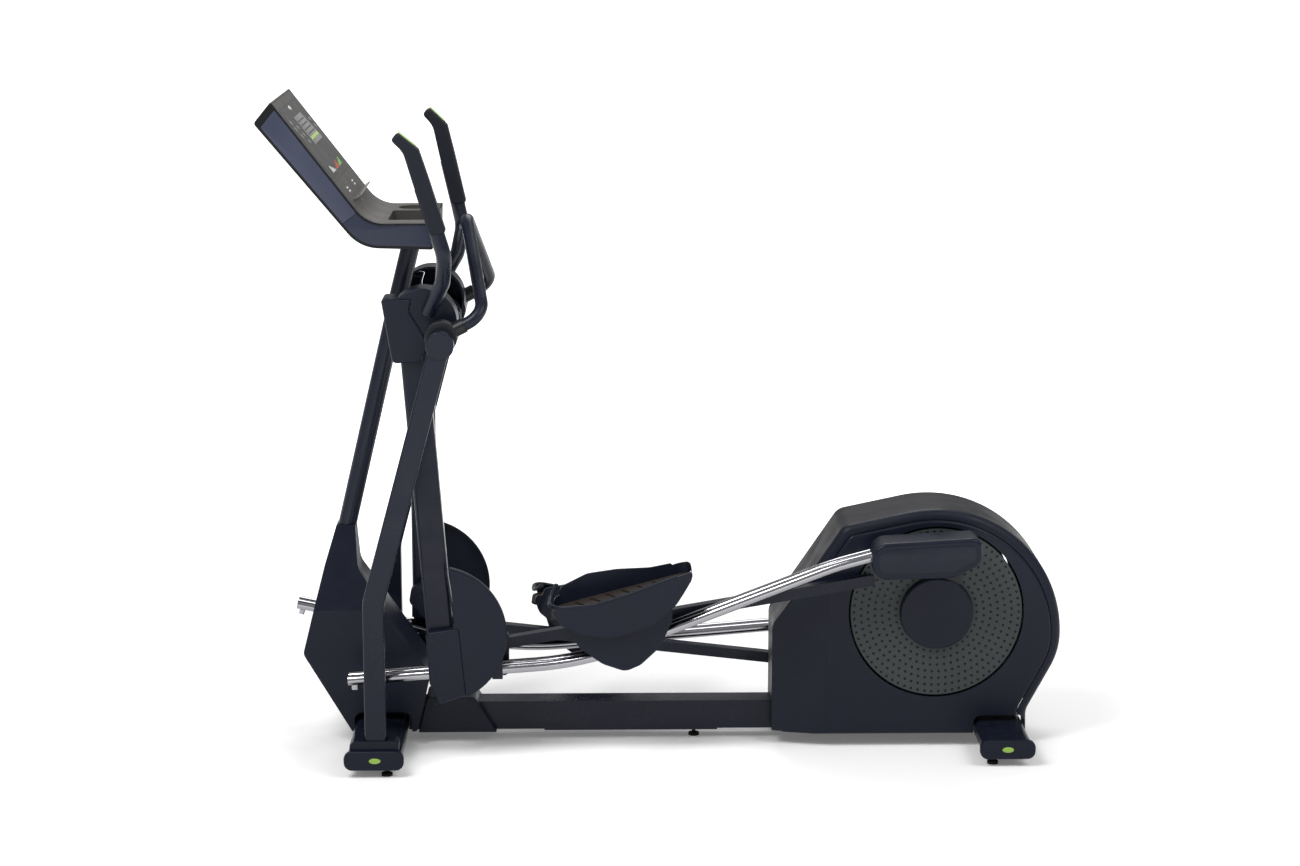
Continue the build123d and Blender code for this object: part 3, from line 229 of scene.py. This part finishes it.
FINISHES = {
    NAVY_PAINT: ("base_beam", "front_stabiliser", "rear_stabiliser", "mast", "side_leg_left",
                 "side_leg_right", "fixed_handlebar", "arm_tube_left", "arm_tube_right",
                 "handle_tube_left", "handle_tube_right", "pedal_link_left",
                 "pedal_link_right"),
    NAVY_PLASTIC: ("mast_shroud_left", "mast_shroud_right", "base_cover", "drive_side_left",
                   "drive_side_right", "leg_foot_pads", "arm_hub_left", "arm_hub_right",
                   "arm_casing_left", "arm_casing_right", "lower_block_left", "lower_block_right",
                   "pivot_cover_left", "pivot_cover_right", "pedal_tray_left", "pedal_tray_right",
                   "pedal_skirt_left", "pedal_skirt_right", "link_cover_left", "link_cover_right",
                   "stabiliser_end_caps", "hub_covers"),
    BLACK_PLASTIC: ("console_housing", "crank_discs"),
    SPINE_PAINTED_LIT_TOP: ("drive_spine_cover",),
    FACE_GREY: ("console_face", "console_shelf"),
    BEZEL_GREY: ("display_panel",),
    TREAD: ("pedal_tread_left", "pedal_tread_right"),
    RUBBER: ("handle_grip_left", "handle_grip_right"),
    FOOT_RUBBER: ("levelling_feet",),
    CHROME: ("guide_rails_left", "guide_rails_right"),
    STEEL: ("shaft_bearings", "drive_pulley"),
    BLACK_STEEL: ("handlebar_clamps", "drive_frame", "axle_spacers", "crank_axle", "pivot_axle"),
    IRON: ("flywheel",),
    BELT: ("drive_belt",),
    BOARD: ("drive_electronics", "console_board"),
    CLEAR: ("reading_ledge",),
}


def paint(piece, material):
    piece.data.materials.clear()
    piece.data.materials.append(material)


def paint_cad_nodes():
    for material, names in FINISHES.items():
        for name in names:
            for place in NODES[name].material_slots:
                place.link = "OBJECT"
                place.material = material


paint_cad_nodes()


# ------------------------------------------------------------------ shape helpers

def rounded(corners, radii, steps=7):
    """Closed outline with its corners rounded, by one radius or by one for each corner."""
    if not isinstance(radii, (list, tuple)):
        radii = [radii] * len(corners)
    ring = []
    for index, corner in enumerate(corners):
        here = Vector(corner)
        back = (Vector(corners[index - 1]) - here).normalized()
        ahead = (Vector(corners[(index + 1) % len(corners)]) - here).normalized()
        half = back.angle(ahead) / 2
        middle = here + (back + ahead).normalized() * radii[index] / math.sin(half)
        start = here + back * radii[index] / math.tan(half) - middle
        sweep = start.angle_signed(here + ahead * radii[index] / math.tan(half) - middle)
        for step in range(steps + 1):
            turn = Matrix.Rotation(-sweep * step / steps, 2)
            ring.append(middle + turn @ start)
    return ring


def inset(corners, distances):
    """The same closed outline, with each side moved inwards by its own distance."""
    points = [Vector(corner) for corner in corners]
    area = sum(a.cross(b) for a, b in zip(points, points[1:] + points[:1]))
    lines = []
    for index, start in enumerate(points):
        run = (points[(index + 1) % len(points)] - start).normalized()
        inward = Vector((-run.y, run.x)) * math.copysign(distances[index], area)
        lines.append((start + inward, run))
    moved = []
    for (before, first), (after, second) in zip(lines[-1:] + lines[:-1], lines):
        moved.append(before + first * ((after - before).cross(second) / first.cross(second)))
    return moved


def clipped(ring, point, normal):
    """Part of a closed outline behind a line, on the side that the normal points away from."""
    kept = []
    for before, after in zip(ring, ring[1:] + ring[:1]):
        here, there = (before - point).dot(normal), (after - point).dot(normal)
        if here <= 0:
            kept.append(before)
        if here * there < 0:
            kept.append(before.lerp(after, here / (here - there)))
    return kept


def circle(centre, radius, count=48, start=0.0):
    """Closed ring of points around a centre."""
    steps = (start + math.tau * index / count for index in range(count))
    return [Vector((centre[0] + radius * math.cos(a), centre[1] + radius * math.sin(a))) for a in steps]


def oval(centre, length, height, count=32):
    """Closed ellipse of points around a centre."""
    steps = (math.tau * index / count for index in range(count))
    return [Vector((centre[0] + length / 2 * math.cos(a), centre[1] + height / 2 * math.sin(a)))
            for a in steps]


def mesh_of(curve):
    """Mesh of a curve, which itself isn't kept in the scene."""
    holder = bpy.data.objects.new("holder", curve)
    mesh = bpy.data.meshes.new_from_object(holder)
    bpy.data.objects.remove(holder)
    return mesh


def plate(rings, thickness, bevel=0.0):
    """Flat plate with its back on the local XY plane: one outline, and any holes in it."""
    curve = bpy.data.curves.new("plate", "CURVE")
    curve.dimensions = "2D"
    curve.fill_mode = "BOTH"
    curve.extrude = thickness / 2 - bevel
    curve.bevel_depth = bevel
    curve.bevel_resolution = 2
    curve.offset = -bevel
    for ring in rings:
        spline = curve.splines.new("POLY")
        spline.points.add(len(ring) - 1)
        for point, place in zip(spline.points, ring):
            point.co = (place[0], place[1], 0, 1)
        spline.use_cyclic_u = True
    mesh = mesh_of(curve)
    mesh.transform(Matrix.Translation((0, 0, thickness / 2)))
    tidy = bmesh.new()
    tidy.from_mesh(mesh)
    bmesh.ops.remove_doubles(tidy, verts=tidy.verts, dist=1e-6)
    bmesh.ops.recalc_face_normals(tidy, faces=tidy.faces)
    tidy.to_mesh(mesh)
    tidy.free()
    return mesh


def joined(meshes):
    """One mesh made of several."""
    whole = bmesh.new()
    for mesh in meshes:
        whole.from_mesh(mesh)
    made = bpy.data.meshes.new("joined")
    whole.to_mesh(made)
    whole.free()
    return made


def on_side(y, mesh):
    """Lay a plate on the left of the machine, at a distance from its middle."""
    mesh.transform(Matrix(((1, 0, 0, 0), (0, 0, -1, -y), (0, 1, 0, 0), (0, 0, 0, 1))))
    return mesh


FACE_TOP, FACE_KNEE = Vector((-1.035, 1.784)), Vector((-0.791, 1.466))
FACE_DOWN = (FACE_KNEE - FACE_TOP).normalized()
FACE_PLACE = Matrix(((0, -FACE_DOWN.x, -FACE_DOWN.y, FACE_TOP.x), (1, 0, 0, 0),
                     (0, -FACE_DOWN.y, FACE_DOWN.x, FACE_TOP.y), (0, 0, 0, 1)))


def on_face(height, mesh):
    """Lay a plate on the display face: its X is across, and its Y is up from the top edge."""
    mesh.transform(FACE_PLACE @ Matrix.Translation((0, 0, height)))
    return mesh


def add(name, mesh, body, material):
    """A finished piece that moves with a body."""
    piece = bpy.data.objects.new(name, mesh)
    bpy.context.scene.collection.objects.link(piece)
    mesh.polygons.foreach_set("use_smooth", [True] * len(mesh.polygons))
    mesh.set_sharp_from_angle(angle=math.radians(32))
    paint(piece, material)
    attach(piece, body)
    return piece


def add_both(name, make, kind, material):
    """The left piece and its mirror image, each at its own place and on its own body."""
    for side, place in SIDES[kind]:
        mesh = make()
        mesh.transform(place)
        if place.is_negative:
            mesh.flip_normals()
        add(f"{name}_{side}", mesh, BODY_NAMES[kind].format(side), material)


def bar(left, low, width, height):
    """Corners of an upright rectangle."""
    return [(left, low), (left + width, low), (left + width, low + height), (left, low + height)]


# ------------------------------------------------------------------ detail pieces

def screw_head(x, z, y):
    """Round screw head with a hexagonal socket."""
    return on_side(y, plate([circle((x, z), 0.0055, 24), circle((x, z), 0.0026, 6)], 0.0016, 0.0004))


CONSOLE_SIDE = [(-1.081, 1.728), (-1.035, 1.784), (-0.791, 1.466), (-0.616, 1.467),
                (-0.618, 1.397), (-0.810, 1.402)]
CONSOLE_SEAM = Vector((-0.820, 1.492))


def console_side_panels():
    """Blue panels set on the black sides of the console, in two parts with a seam; the upper part is
    painted lighter and the lower darker, as painted light and shade on one blue.
    """
    corners = inset(CONSOLE_SIDE, [0.021, 0.005, 0.005, 0.004, 0.008, 0.008])
    ring = rounded(corners, [0.006, 0.004, 0.088, 0.003, 0.006, 0.099], 12)
    gap = FACE_DOWN * 0.0006
    for name, point, away, material in (("upper", CONSOLE_SEAM - gap, FACE_DOWN, PANEL_UPPER_PAINTED_LIT),
                                        ("lower", CONSOLE_SEAM + gap, -FACE_DOWN, PANEL_LOWER_PAINTED_SHADE)):
        part = clipped(ring, point, away)
        add_both(f"console_panel_{name}", lambda: on_side(0.2298, plate([part], 0.0022, 0.0007)),
                 "frame", material)


PANEL_HEIGHT = 0.0006           # top of the display panel above the face
WINDOW_HEIGHT = 0.0016          # height at which marks lie on the display window


def display_window():
    """Glossy window with rows of text and lit digits on it."""
    window = rounded([(-0.074, -0.070), (0.093, -0.069), (0.141, -0.159), (-0.064, -0.160)], 0.006)
    add("display_window", on_face(PANEL_HEIGHT, plate([window], 0.0012, 0.0004)), "frame", LCD)
    digits = []
    for across in (-0.046, -0.014, 0.020, 0.058, 0.094):
        for step in range(3):
            digit = rounded(bar(across + step * 0.0085, -0.146, 0.006, 0.009), 0.001, 2)
            digits.append(on_face(WINDOW_HEIGHT, plate([digit], 0.0005)))
    add("display_digits", joined(digits), "frame", LCD_LIT)
    rows = []
    for down, lean in ((0.088, 0.0), (0.102, 0.004), (0.116, 0.008), (0.130, 0.012)):
        row = rounded(bar(-0.060 + lean, -down, 0.140 + 1.4 * lean, 0.004), 0.001, 2)
        rows.append(on_face(WINDOW_HEIGHT, plate([row], 0.0004)))
    add("display_rows", joined(rows), "frame", BEZEL_GREY)


def display_keys():
    """Raised membrane keys beside the window. Each place is how far down, and how far across."""
    places = ((0.076, -0.177), (0.096, -0.180), (0.121, -0.164), (0.144, -0.116),
              (0.121, -0.116), (0.096, -0.122), (0.100, 0.168), (0.124, 0.174))
    keys = []
    for down, across in places:
        key = rounded(bar(across - 0.010, -down - 0.006, 0.020, 0.012), 0.004)
        keys.append(on_face(PANEL_HEIGHT, plate([key], 0.0012, 0.0004)))
    add("display_keys", joined(keys), "frame", KEY_GREY)


def printed_chart():
    """Chart of rising and falling bars in three colours."""
    for name, material, first in (("red", PRINT_RED, -0.026), ("green", PRINT_GREEN, 0.054),
                                  ("white", PRINT_WHITE, -0.120)):
        bars = []
        for step in range(5):
            rise = 0.004 + 0.0045 * (step if name != "white" else 4 - step)
            ring = rounded(bar(first + step * 0.0155, -0.247, 0.010, rise), 0.001, 2)
            bars.append(on_face(PANEL_HEIGHT, plate([ring], 0.0005)))
        add(f"chart_{name}", joined(bars), "frame", material)


def face_marks():
    """Plain oval at the top of the face, and short lines where small print would be."""
    mark = oval((-0.014, -0.043), 0.034, 0.013)
    add("face_badge", on_face(PANEL_HEIGHT, plate([mark], 0.0014, 0.0005)), "frame", PRINT_WHITE)
    prints = []
    for across, down, length in ((0.076, 0.302, 0.030), (-0.087, 0.303, 0.034)):
        for step in range(2):
            line = rounded(bar(across - length / 2, -down - step * 0.011, length, 0.005), 0.0015, 3)
            prints.append(on_face(0.0, plate([line], 0.0004)))
    add("face_prints", joined(prints), "frame", PRINT_WHITE)


def disc_screen():
    """Perforated plate over a crank disc, with holes on concentric circles."""
    pitch = 0.019
    rings = [circle(CRANK, 0.2335, 128), circle(CRANK, 0.101, 96)]
    for step in range(7):
        radius = 0.111 + step * pitch
        count = round(math.tau * radius / pitch)
        for index in range(count):
            turn = math.tau * (index + 0.5 * (step % 2)) / count
            middle = (CRANK[0] + radius * math.cos(turn), CRANK[1] + radius * math.sin(turn))
            rings.append(circle(middle, 0.0041, 8))
    return on_side(0.1262, plate(rings, 0.0016))


GRIP_REAR = [(-0.5855, 1.462), (-0.6145, 1.560), (-0.6300, 1.612), (-0.6490, 1.668)]
HANDLE_Y = 0.335


def along(path, distance):
    """Point and direction at a distance along a run of straight stretches."""
    for start, end in zip(path, path[1:]):
        start, end = Vector(start), Vector(end)
        if distance <= (end - start).length:
            run = (end - start).normalized()
            return start + run * distance, run
        distance -= (end - start).length
    return end, run


def grip_strip():
    """Row of low ribs down the rear edge of the grip."""
    ribs = []
    outline = rounded([(-0.0095, 0), (0.0095, 0), (0.0095, 0.0042), (-0.0095, 0.0042)], 0.0015, 3)
    for step in range(27):
        middle, run = along(GRIP_REAR, 0.006 + step * 0.0073)
        rib = plate([outline], 0.0016, 0.0005)
        out = Vector((run.y, -run.x))
        rib.transform(Matrix(((0, run.x, -out.x, middle.x), (1, 0, 0, -HANDLE_Y),
                              (0, run.y, -out.y, middle.y), (0, 0, 0, 1))))
        ribs.append(rib)
    return joined(ribs)


def badge(x, z, y):
    return on_side(y, plate([oval((x, z), 0.031, 0.015)], 0.0012, 0.0004))


LINK_COVER = [(0.536, 0.611), (0.548, 0.512), (0.760, 0.517), (0.838, 0.558), (0.834, 0.628)]


def link_cover_face():
    """Oval face set on the outside of the link cover, left without lettering."""
    ring = rounded(inset(LINK_COVER, [0.017] * 5), [0.028, 0.024, 0.050, 0.018, 0.012])
    return on_side(0.2862, plate([ring], 0.0022, 0.0008))


def nose_side():
    """Tapering side of the drive unit's nose, from its front edge to the crease."""
    front, crease = Vector((0.2886, 0.0938)), Vector((0.4350, 0.1290))
    run = crease - front
    length = run.length
    ring = rounded([(0, 0.040), (length, 0.040), (length, 0.534), (0, 0.345)],
                   [0.003, 0.001, 0.001, 0.045])
    mesh = plate([ring], 0.0020, 0.0006)
    along_x, along_y = run.normalized()
    mesh.transform(Matrix(((along_x, 0, -along_y, front.x), (-along_y, 0, -along_x, -front.y),
                           (0, 1, 0, 0), (0, 0, 0, 1))))
    return mesh


def grip_top():
    """Pale green insert along the top of the grip's tip."""
    start, end = Vector((-0.6530, 1.6790)), Vector((-0.7000, 1.7170))
    run = (end - start).normalized()
    half = (end - start).length / 2
    outline = rounded([(-half, -0.011), (half, -0.011), (half, 0.011), (-half, 0.011)], 0.008)
    mesh = plate([outline], 0.0020, 0.0008)
    middle = (start + end) / 2
    mesh.transform(Matrix(((run.x, 0, run.y, middle.x), (0, 1, 0, -HANDLE_Y),
                           (run.y, 0, -run.x, middle.y), (0, 0, 0, 1))))
    return mesh


def pedal_rim():
    """Rounded lip along the upper edge of the pedal's outer wall."""
    curve = bpy.data.curves.new("rim", "CURVE")
    curve.dimensions = "3D"
    curve.bevel_depth = 0.0056
    curve.bevel_resolution = 4
    curve.use_fill_caps = True
    outer, inner = 0.3120, 0.1700       # distances of the two walls from the machine's middle
    path = [(-0.302, inner, 0.476), (-0.318, 0.205, 0.448), (-0.3205, 0.240, 0.444),
            (-0.318, 0.280, 0.445), (-0.302, 0.303, 0.446), (-0.280, outer, 0.447),
            (-0.215, outer, 0.451), (-0.155, outer, 0.469), (-0.097, outer, 0.488),
            (-0.040, outer, 0.510), (0.020, outer, 0.533)]
    spline = curve.splines.new("NURBS")
    spline.points.add(len(path) - 1)
    for point, (x, y, z) in zip(spline.points, path):
        point.co = (x, -y, z, 1)
    spline.order_u = 3
    spline.use_endpoint_u = True
    return mesh_of(curve)


console_side_panels()
display_window()
display_keys()
printed_chart()
face_marks()
add_both("nose_side", nose_side, "frame", NAVY_PLASTIC)
# The grip's ribs are coloured pale grey as a painted highlight on the glossy ribbed rubber.
add_both("grip_strip", grip_strip, "arm", RIB_PAINTED_HIGHLIGHT)
add_both("grip_top", grip_top, "arm", PALE_GREEN)
add_both("pedal_rim", pedal_rim, "link", NAVY_PLASTIC)
add_both("disc_screen", disc_screen, "crank", DISC_GREY)
add_both("link_cover_face", link_cover_face, "rail", NAVY_PAINT)
add_both("front_badge", lambda: badge(-0.785, 0.049, 0.3846), "frame", BADGE_GREEN)
add_both("rear_badge", lambda: badge(0.913, 0.049, 0.3146), "frame", BADGE_GREEN)
for number, (x, z) in enumerate(((-0.633, 0.349), (-0.616, 0.189))):
    add_both(f"block_screw_{number}", lambda: screw_head(x, z, 0.2778), "arm", BLACK_STEEL)
add_both("cover_screw", lambda: screw_head(-0.640, 0.112, 0.0618), "frame", BLACK_STEEL)
LEDGE_SCREW = (-0.010, -0.352)      # below the reading ledge, across and down from the top edge
add("ledge_screw",
    on_face(0.0, plate([circle(LEDGE_SCREW, 0.0045, 24), circle(LEDGE_SCREW, 0.0022, 6)],
                       0.0014, 0.0004)),
    "frame", STEEL)


# ------------------------------------------------------------------ stage

def floor_material():
    """Matt white floor that glows far from the machine, so that no horizon shows."""
    material = surface("floor", (0.88, 0.88, 0.88), 0.80, mottle=0.01, bump=0.01, wear=(1.0, 0.0),
                       specular=0.1)
    tree = material.node_tree
    shader = tree.nodes["Principled BSDF"]
    where = node(tree, "ShaderNodeNewGeometry").outputs["Position"]
    distance = node(tree, "ShaderNodeVectorMath", operation="LENGTH")
    tree.links.new(where, distance.inputs[0])
    glow = node(tree, "ShaderNodeMapRange", interpolation_type="SMOOTHSTEP")
    tree.links.new(distance.outputs["Value"], glow.inputs["Value"])
    glow.inputs["From Min"].default_value = 1.2
    glow.inputs["From Max"].default_value = 4.0
    glow.inputs["To Min"].default_value = 0.12
    glow.inputs["To Max"].default_value = 1.1
    shader.inputs["Emission Color"].default_value = (1, 1, 1, 1)
    tree.links.new(glow.outputs["Result"], shader.inputs["Emission Strength"])
    return material


def studio():
    """Pale floor with a soft key light, a fill and a back light."""
    bpy.ops.mesh.primitive_plane_add(size=60)
    floor = bpy.context.object
    floor.name = "floor"
    paint(floor, floor_material())
    world = bpy.data.worlds.new("world")
    bpy.context.scene.world = world
    world.use_nodes = True
    tree = world.node_tree
    seen = node(tree, "ShaderNodeLightPath").outputs["Is Camera Ray"]
    strength = node(tree, "ShaderNodeMapRange")
    tree.links.new(seen, strength.inputs["Value"])
    strength.inputs["To Min"].default_value = 0.42
    strength.inputs["To Max"].default_value = 1.05
    background = tree.nodes["Background"]
    background.inputs["Color"].default_value = (1.0, 1.0, 1.0, 1)
    tree.links.new(strength.outputs["Result"], background.inputs["Strength"])
    lights = (("key", (-2.6, -3.0, 5.2), 2.4, 240), ("fill", (3.2, -2.6, 4.4), 3.0, 115),
              ("back", (0.3, 3.2, 5.0), 3.0, 130))
    middle = Vector((0.0, 0.0, 0.8))
    for name, place, size, power in lights:
        data = bpy.data.lights.new(name, "AREA")
        data.size = size
        data.energy = power
        light = bpy.data.objects.new(name, data)
        bpy.context.scene.collection.objects.link(light)
        light.location = place
        light.rotation_euler = (middle - light.location).to_track_quat("-Z", "Y").to_euler()


def camera():
    """Camera at the height of a standing person, level with the middle of the machine."""
    data = bpy.data.cameras.new("camera")
    data.sensor_width = 36.0
    data.lens = 80.3
    data.clip_end = 100.0
    made = bpy.data.objects.new("camera", data)
    bpy.context.scene.collection.objects.link(made)
    made.location = (-0.182, -7.785, 2.417)
    made.rotation_euler = (math.radians(78.69), 0.0, math.radians(-1.0))
    bpy.context.scene.camera = made


studio()
camera()
bpy.context.scene.view_settings.view_transform = "Standard"
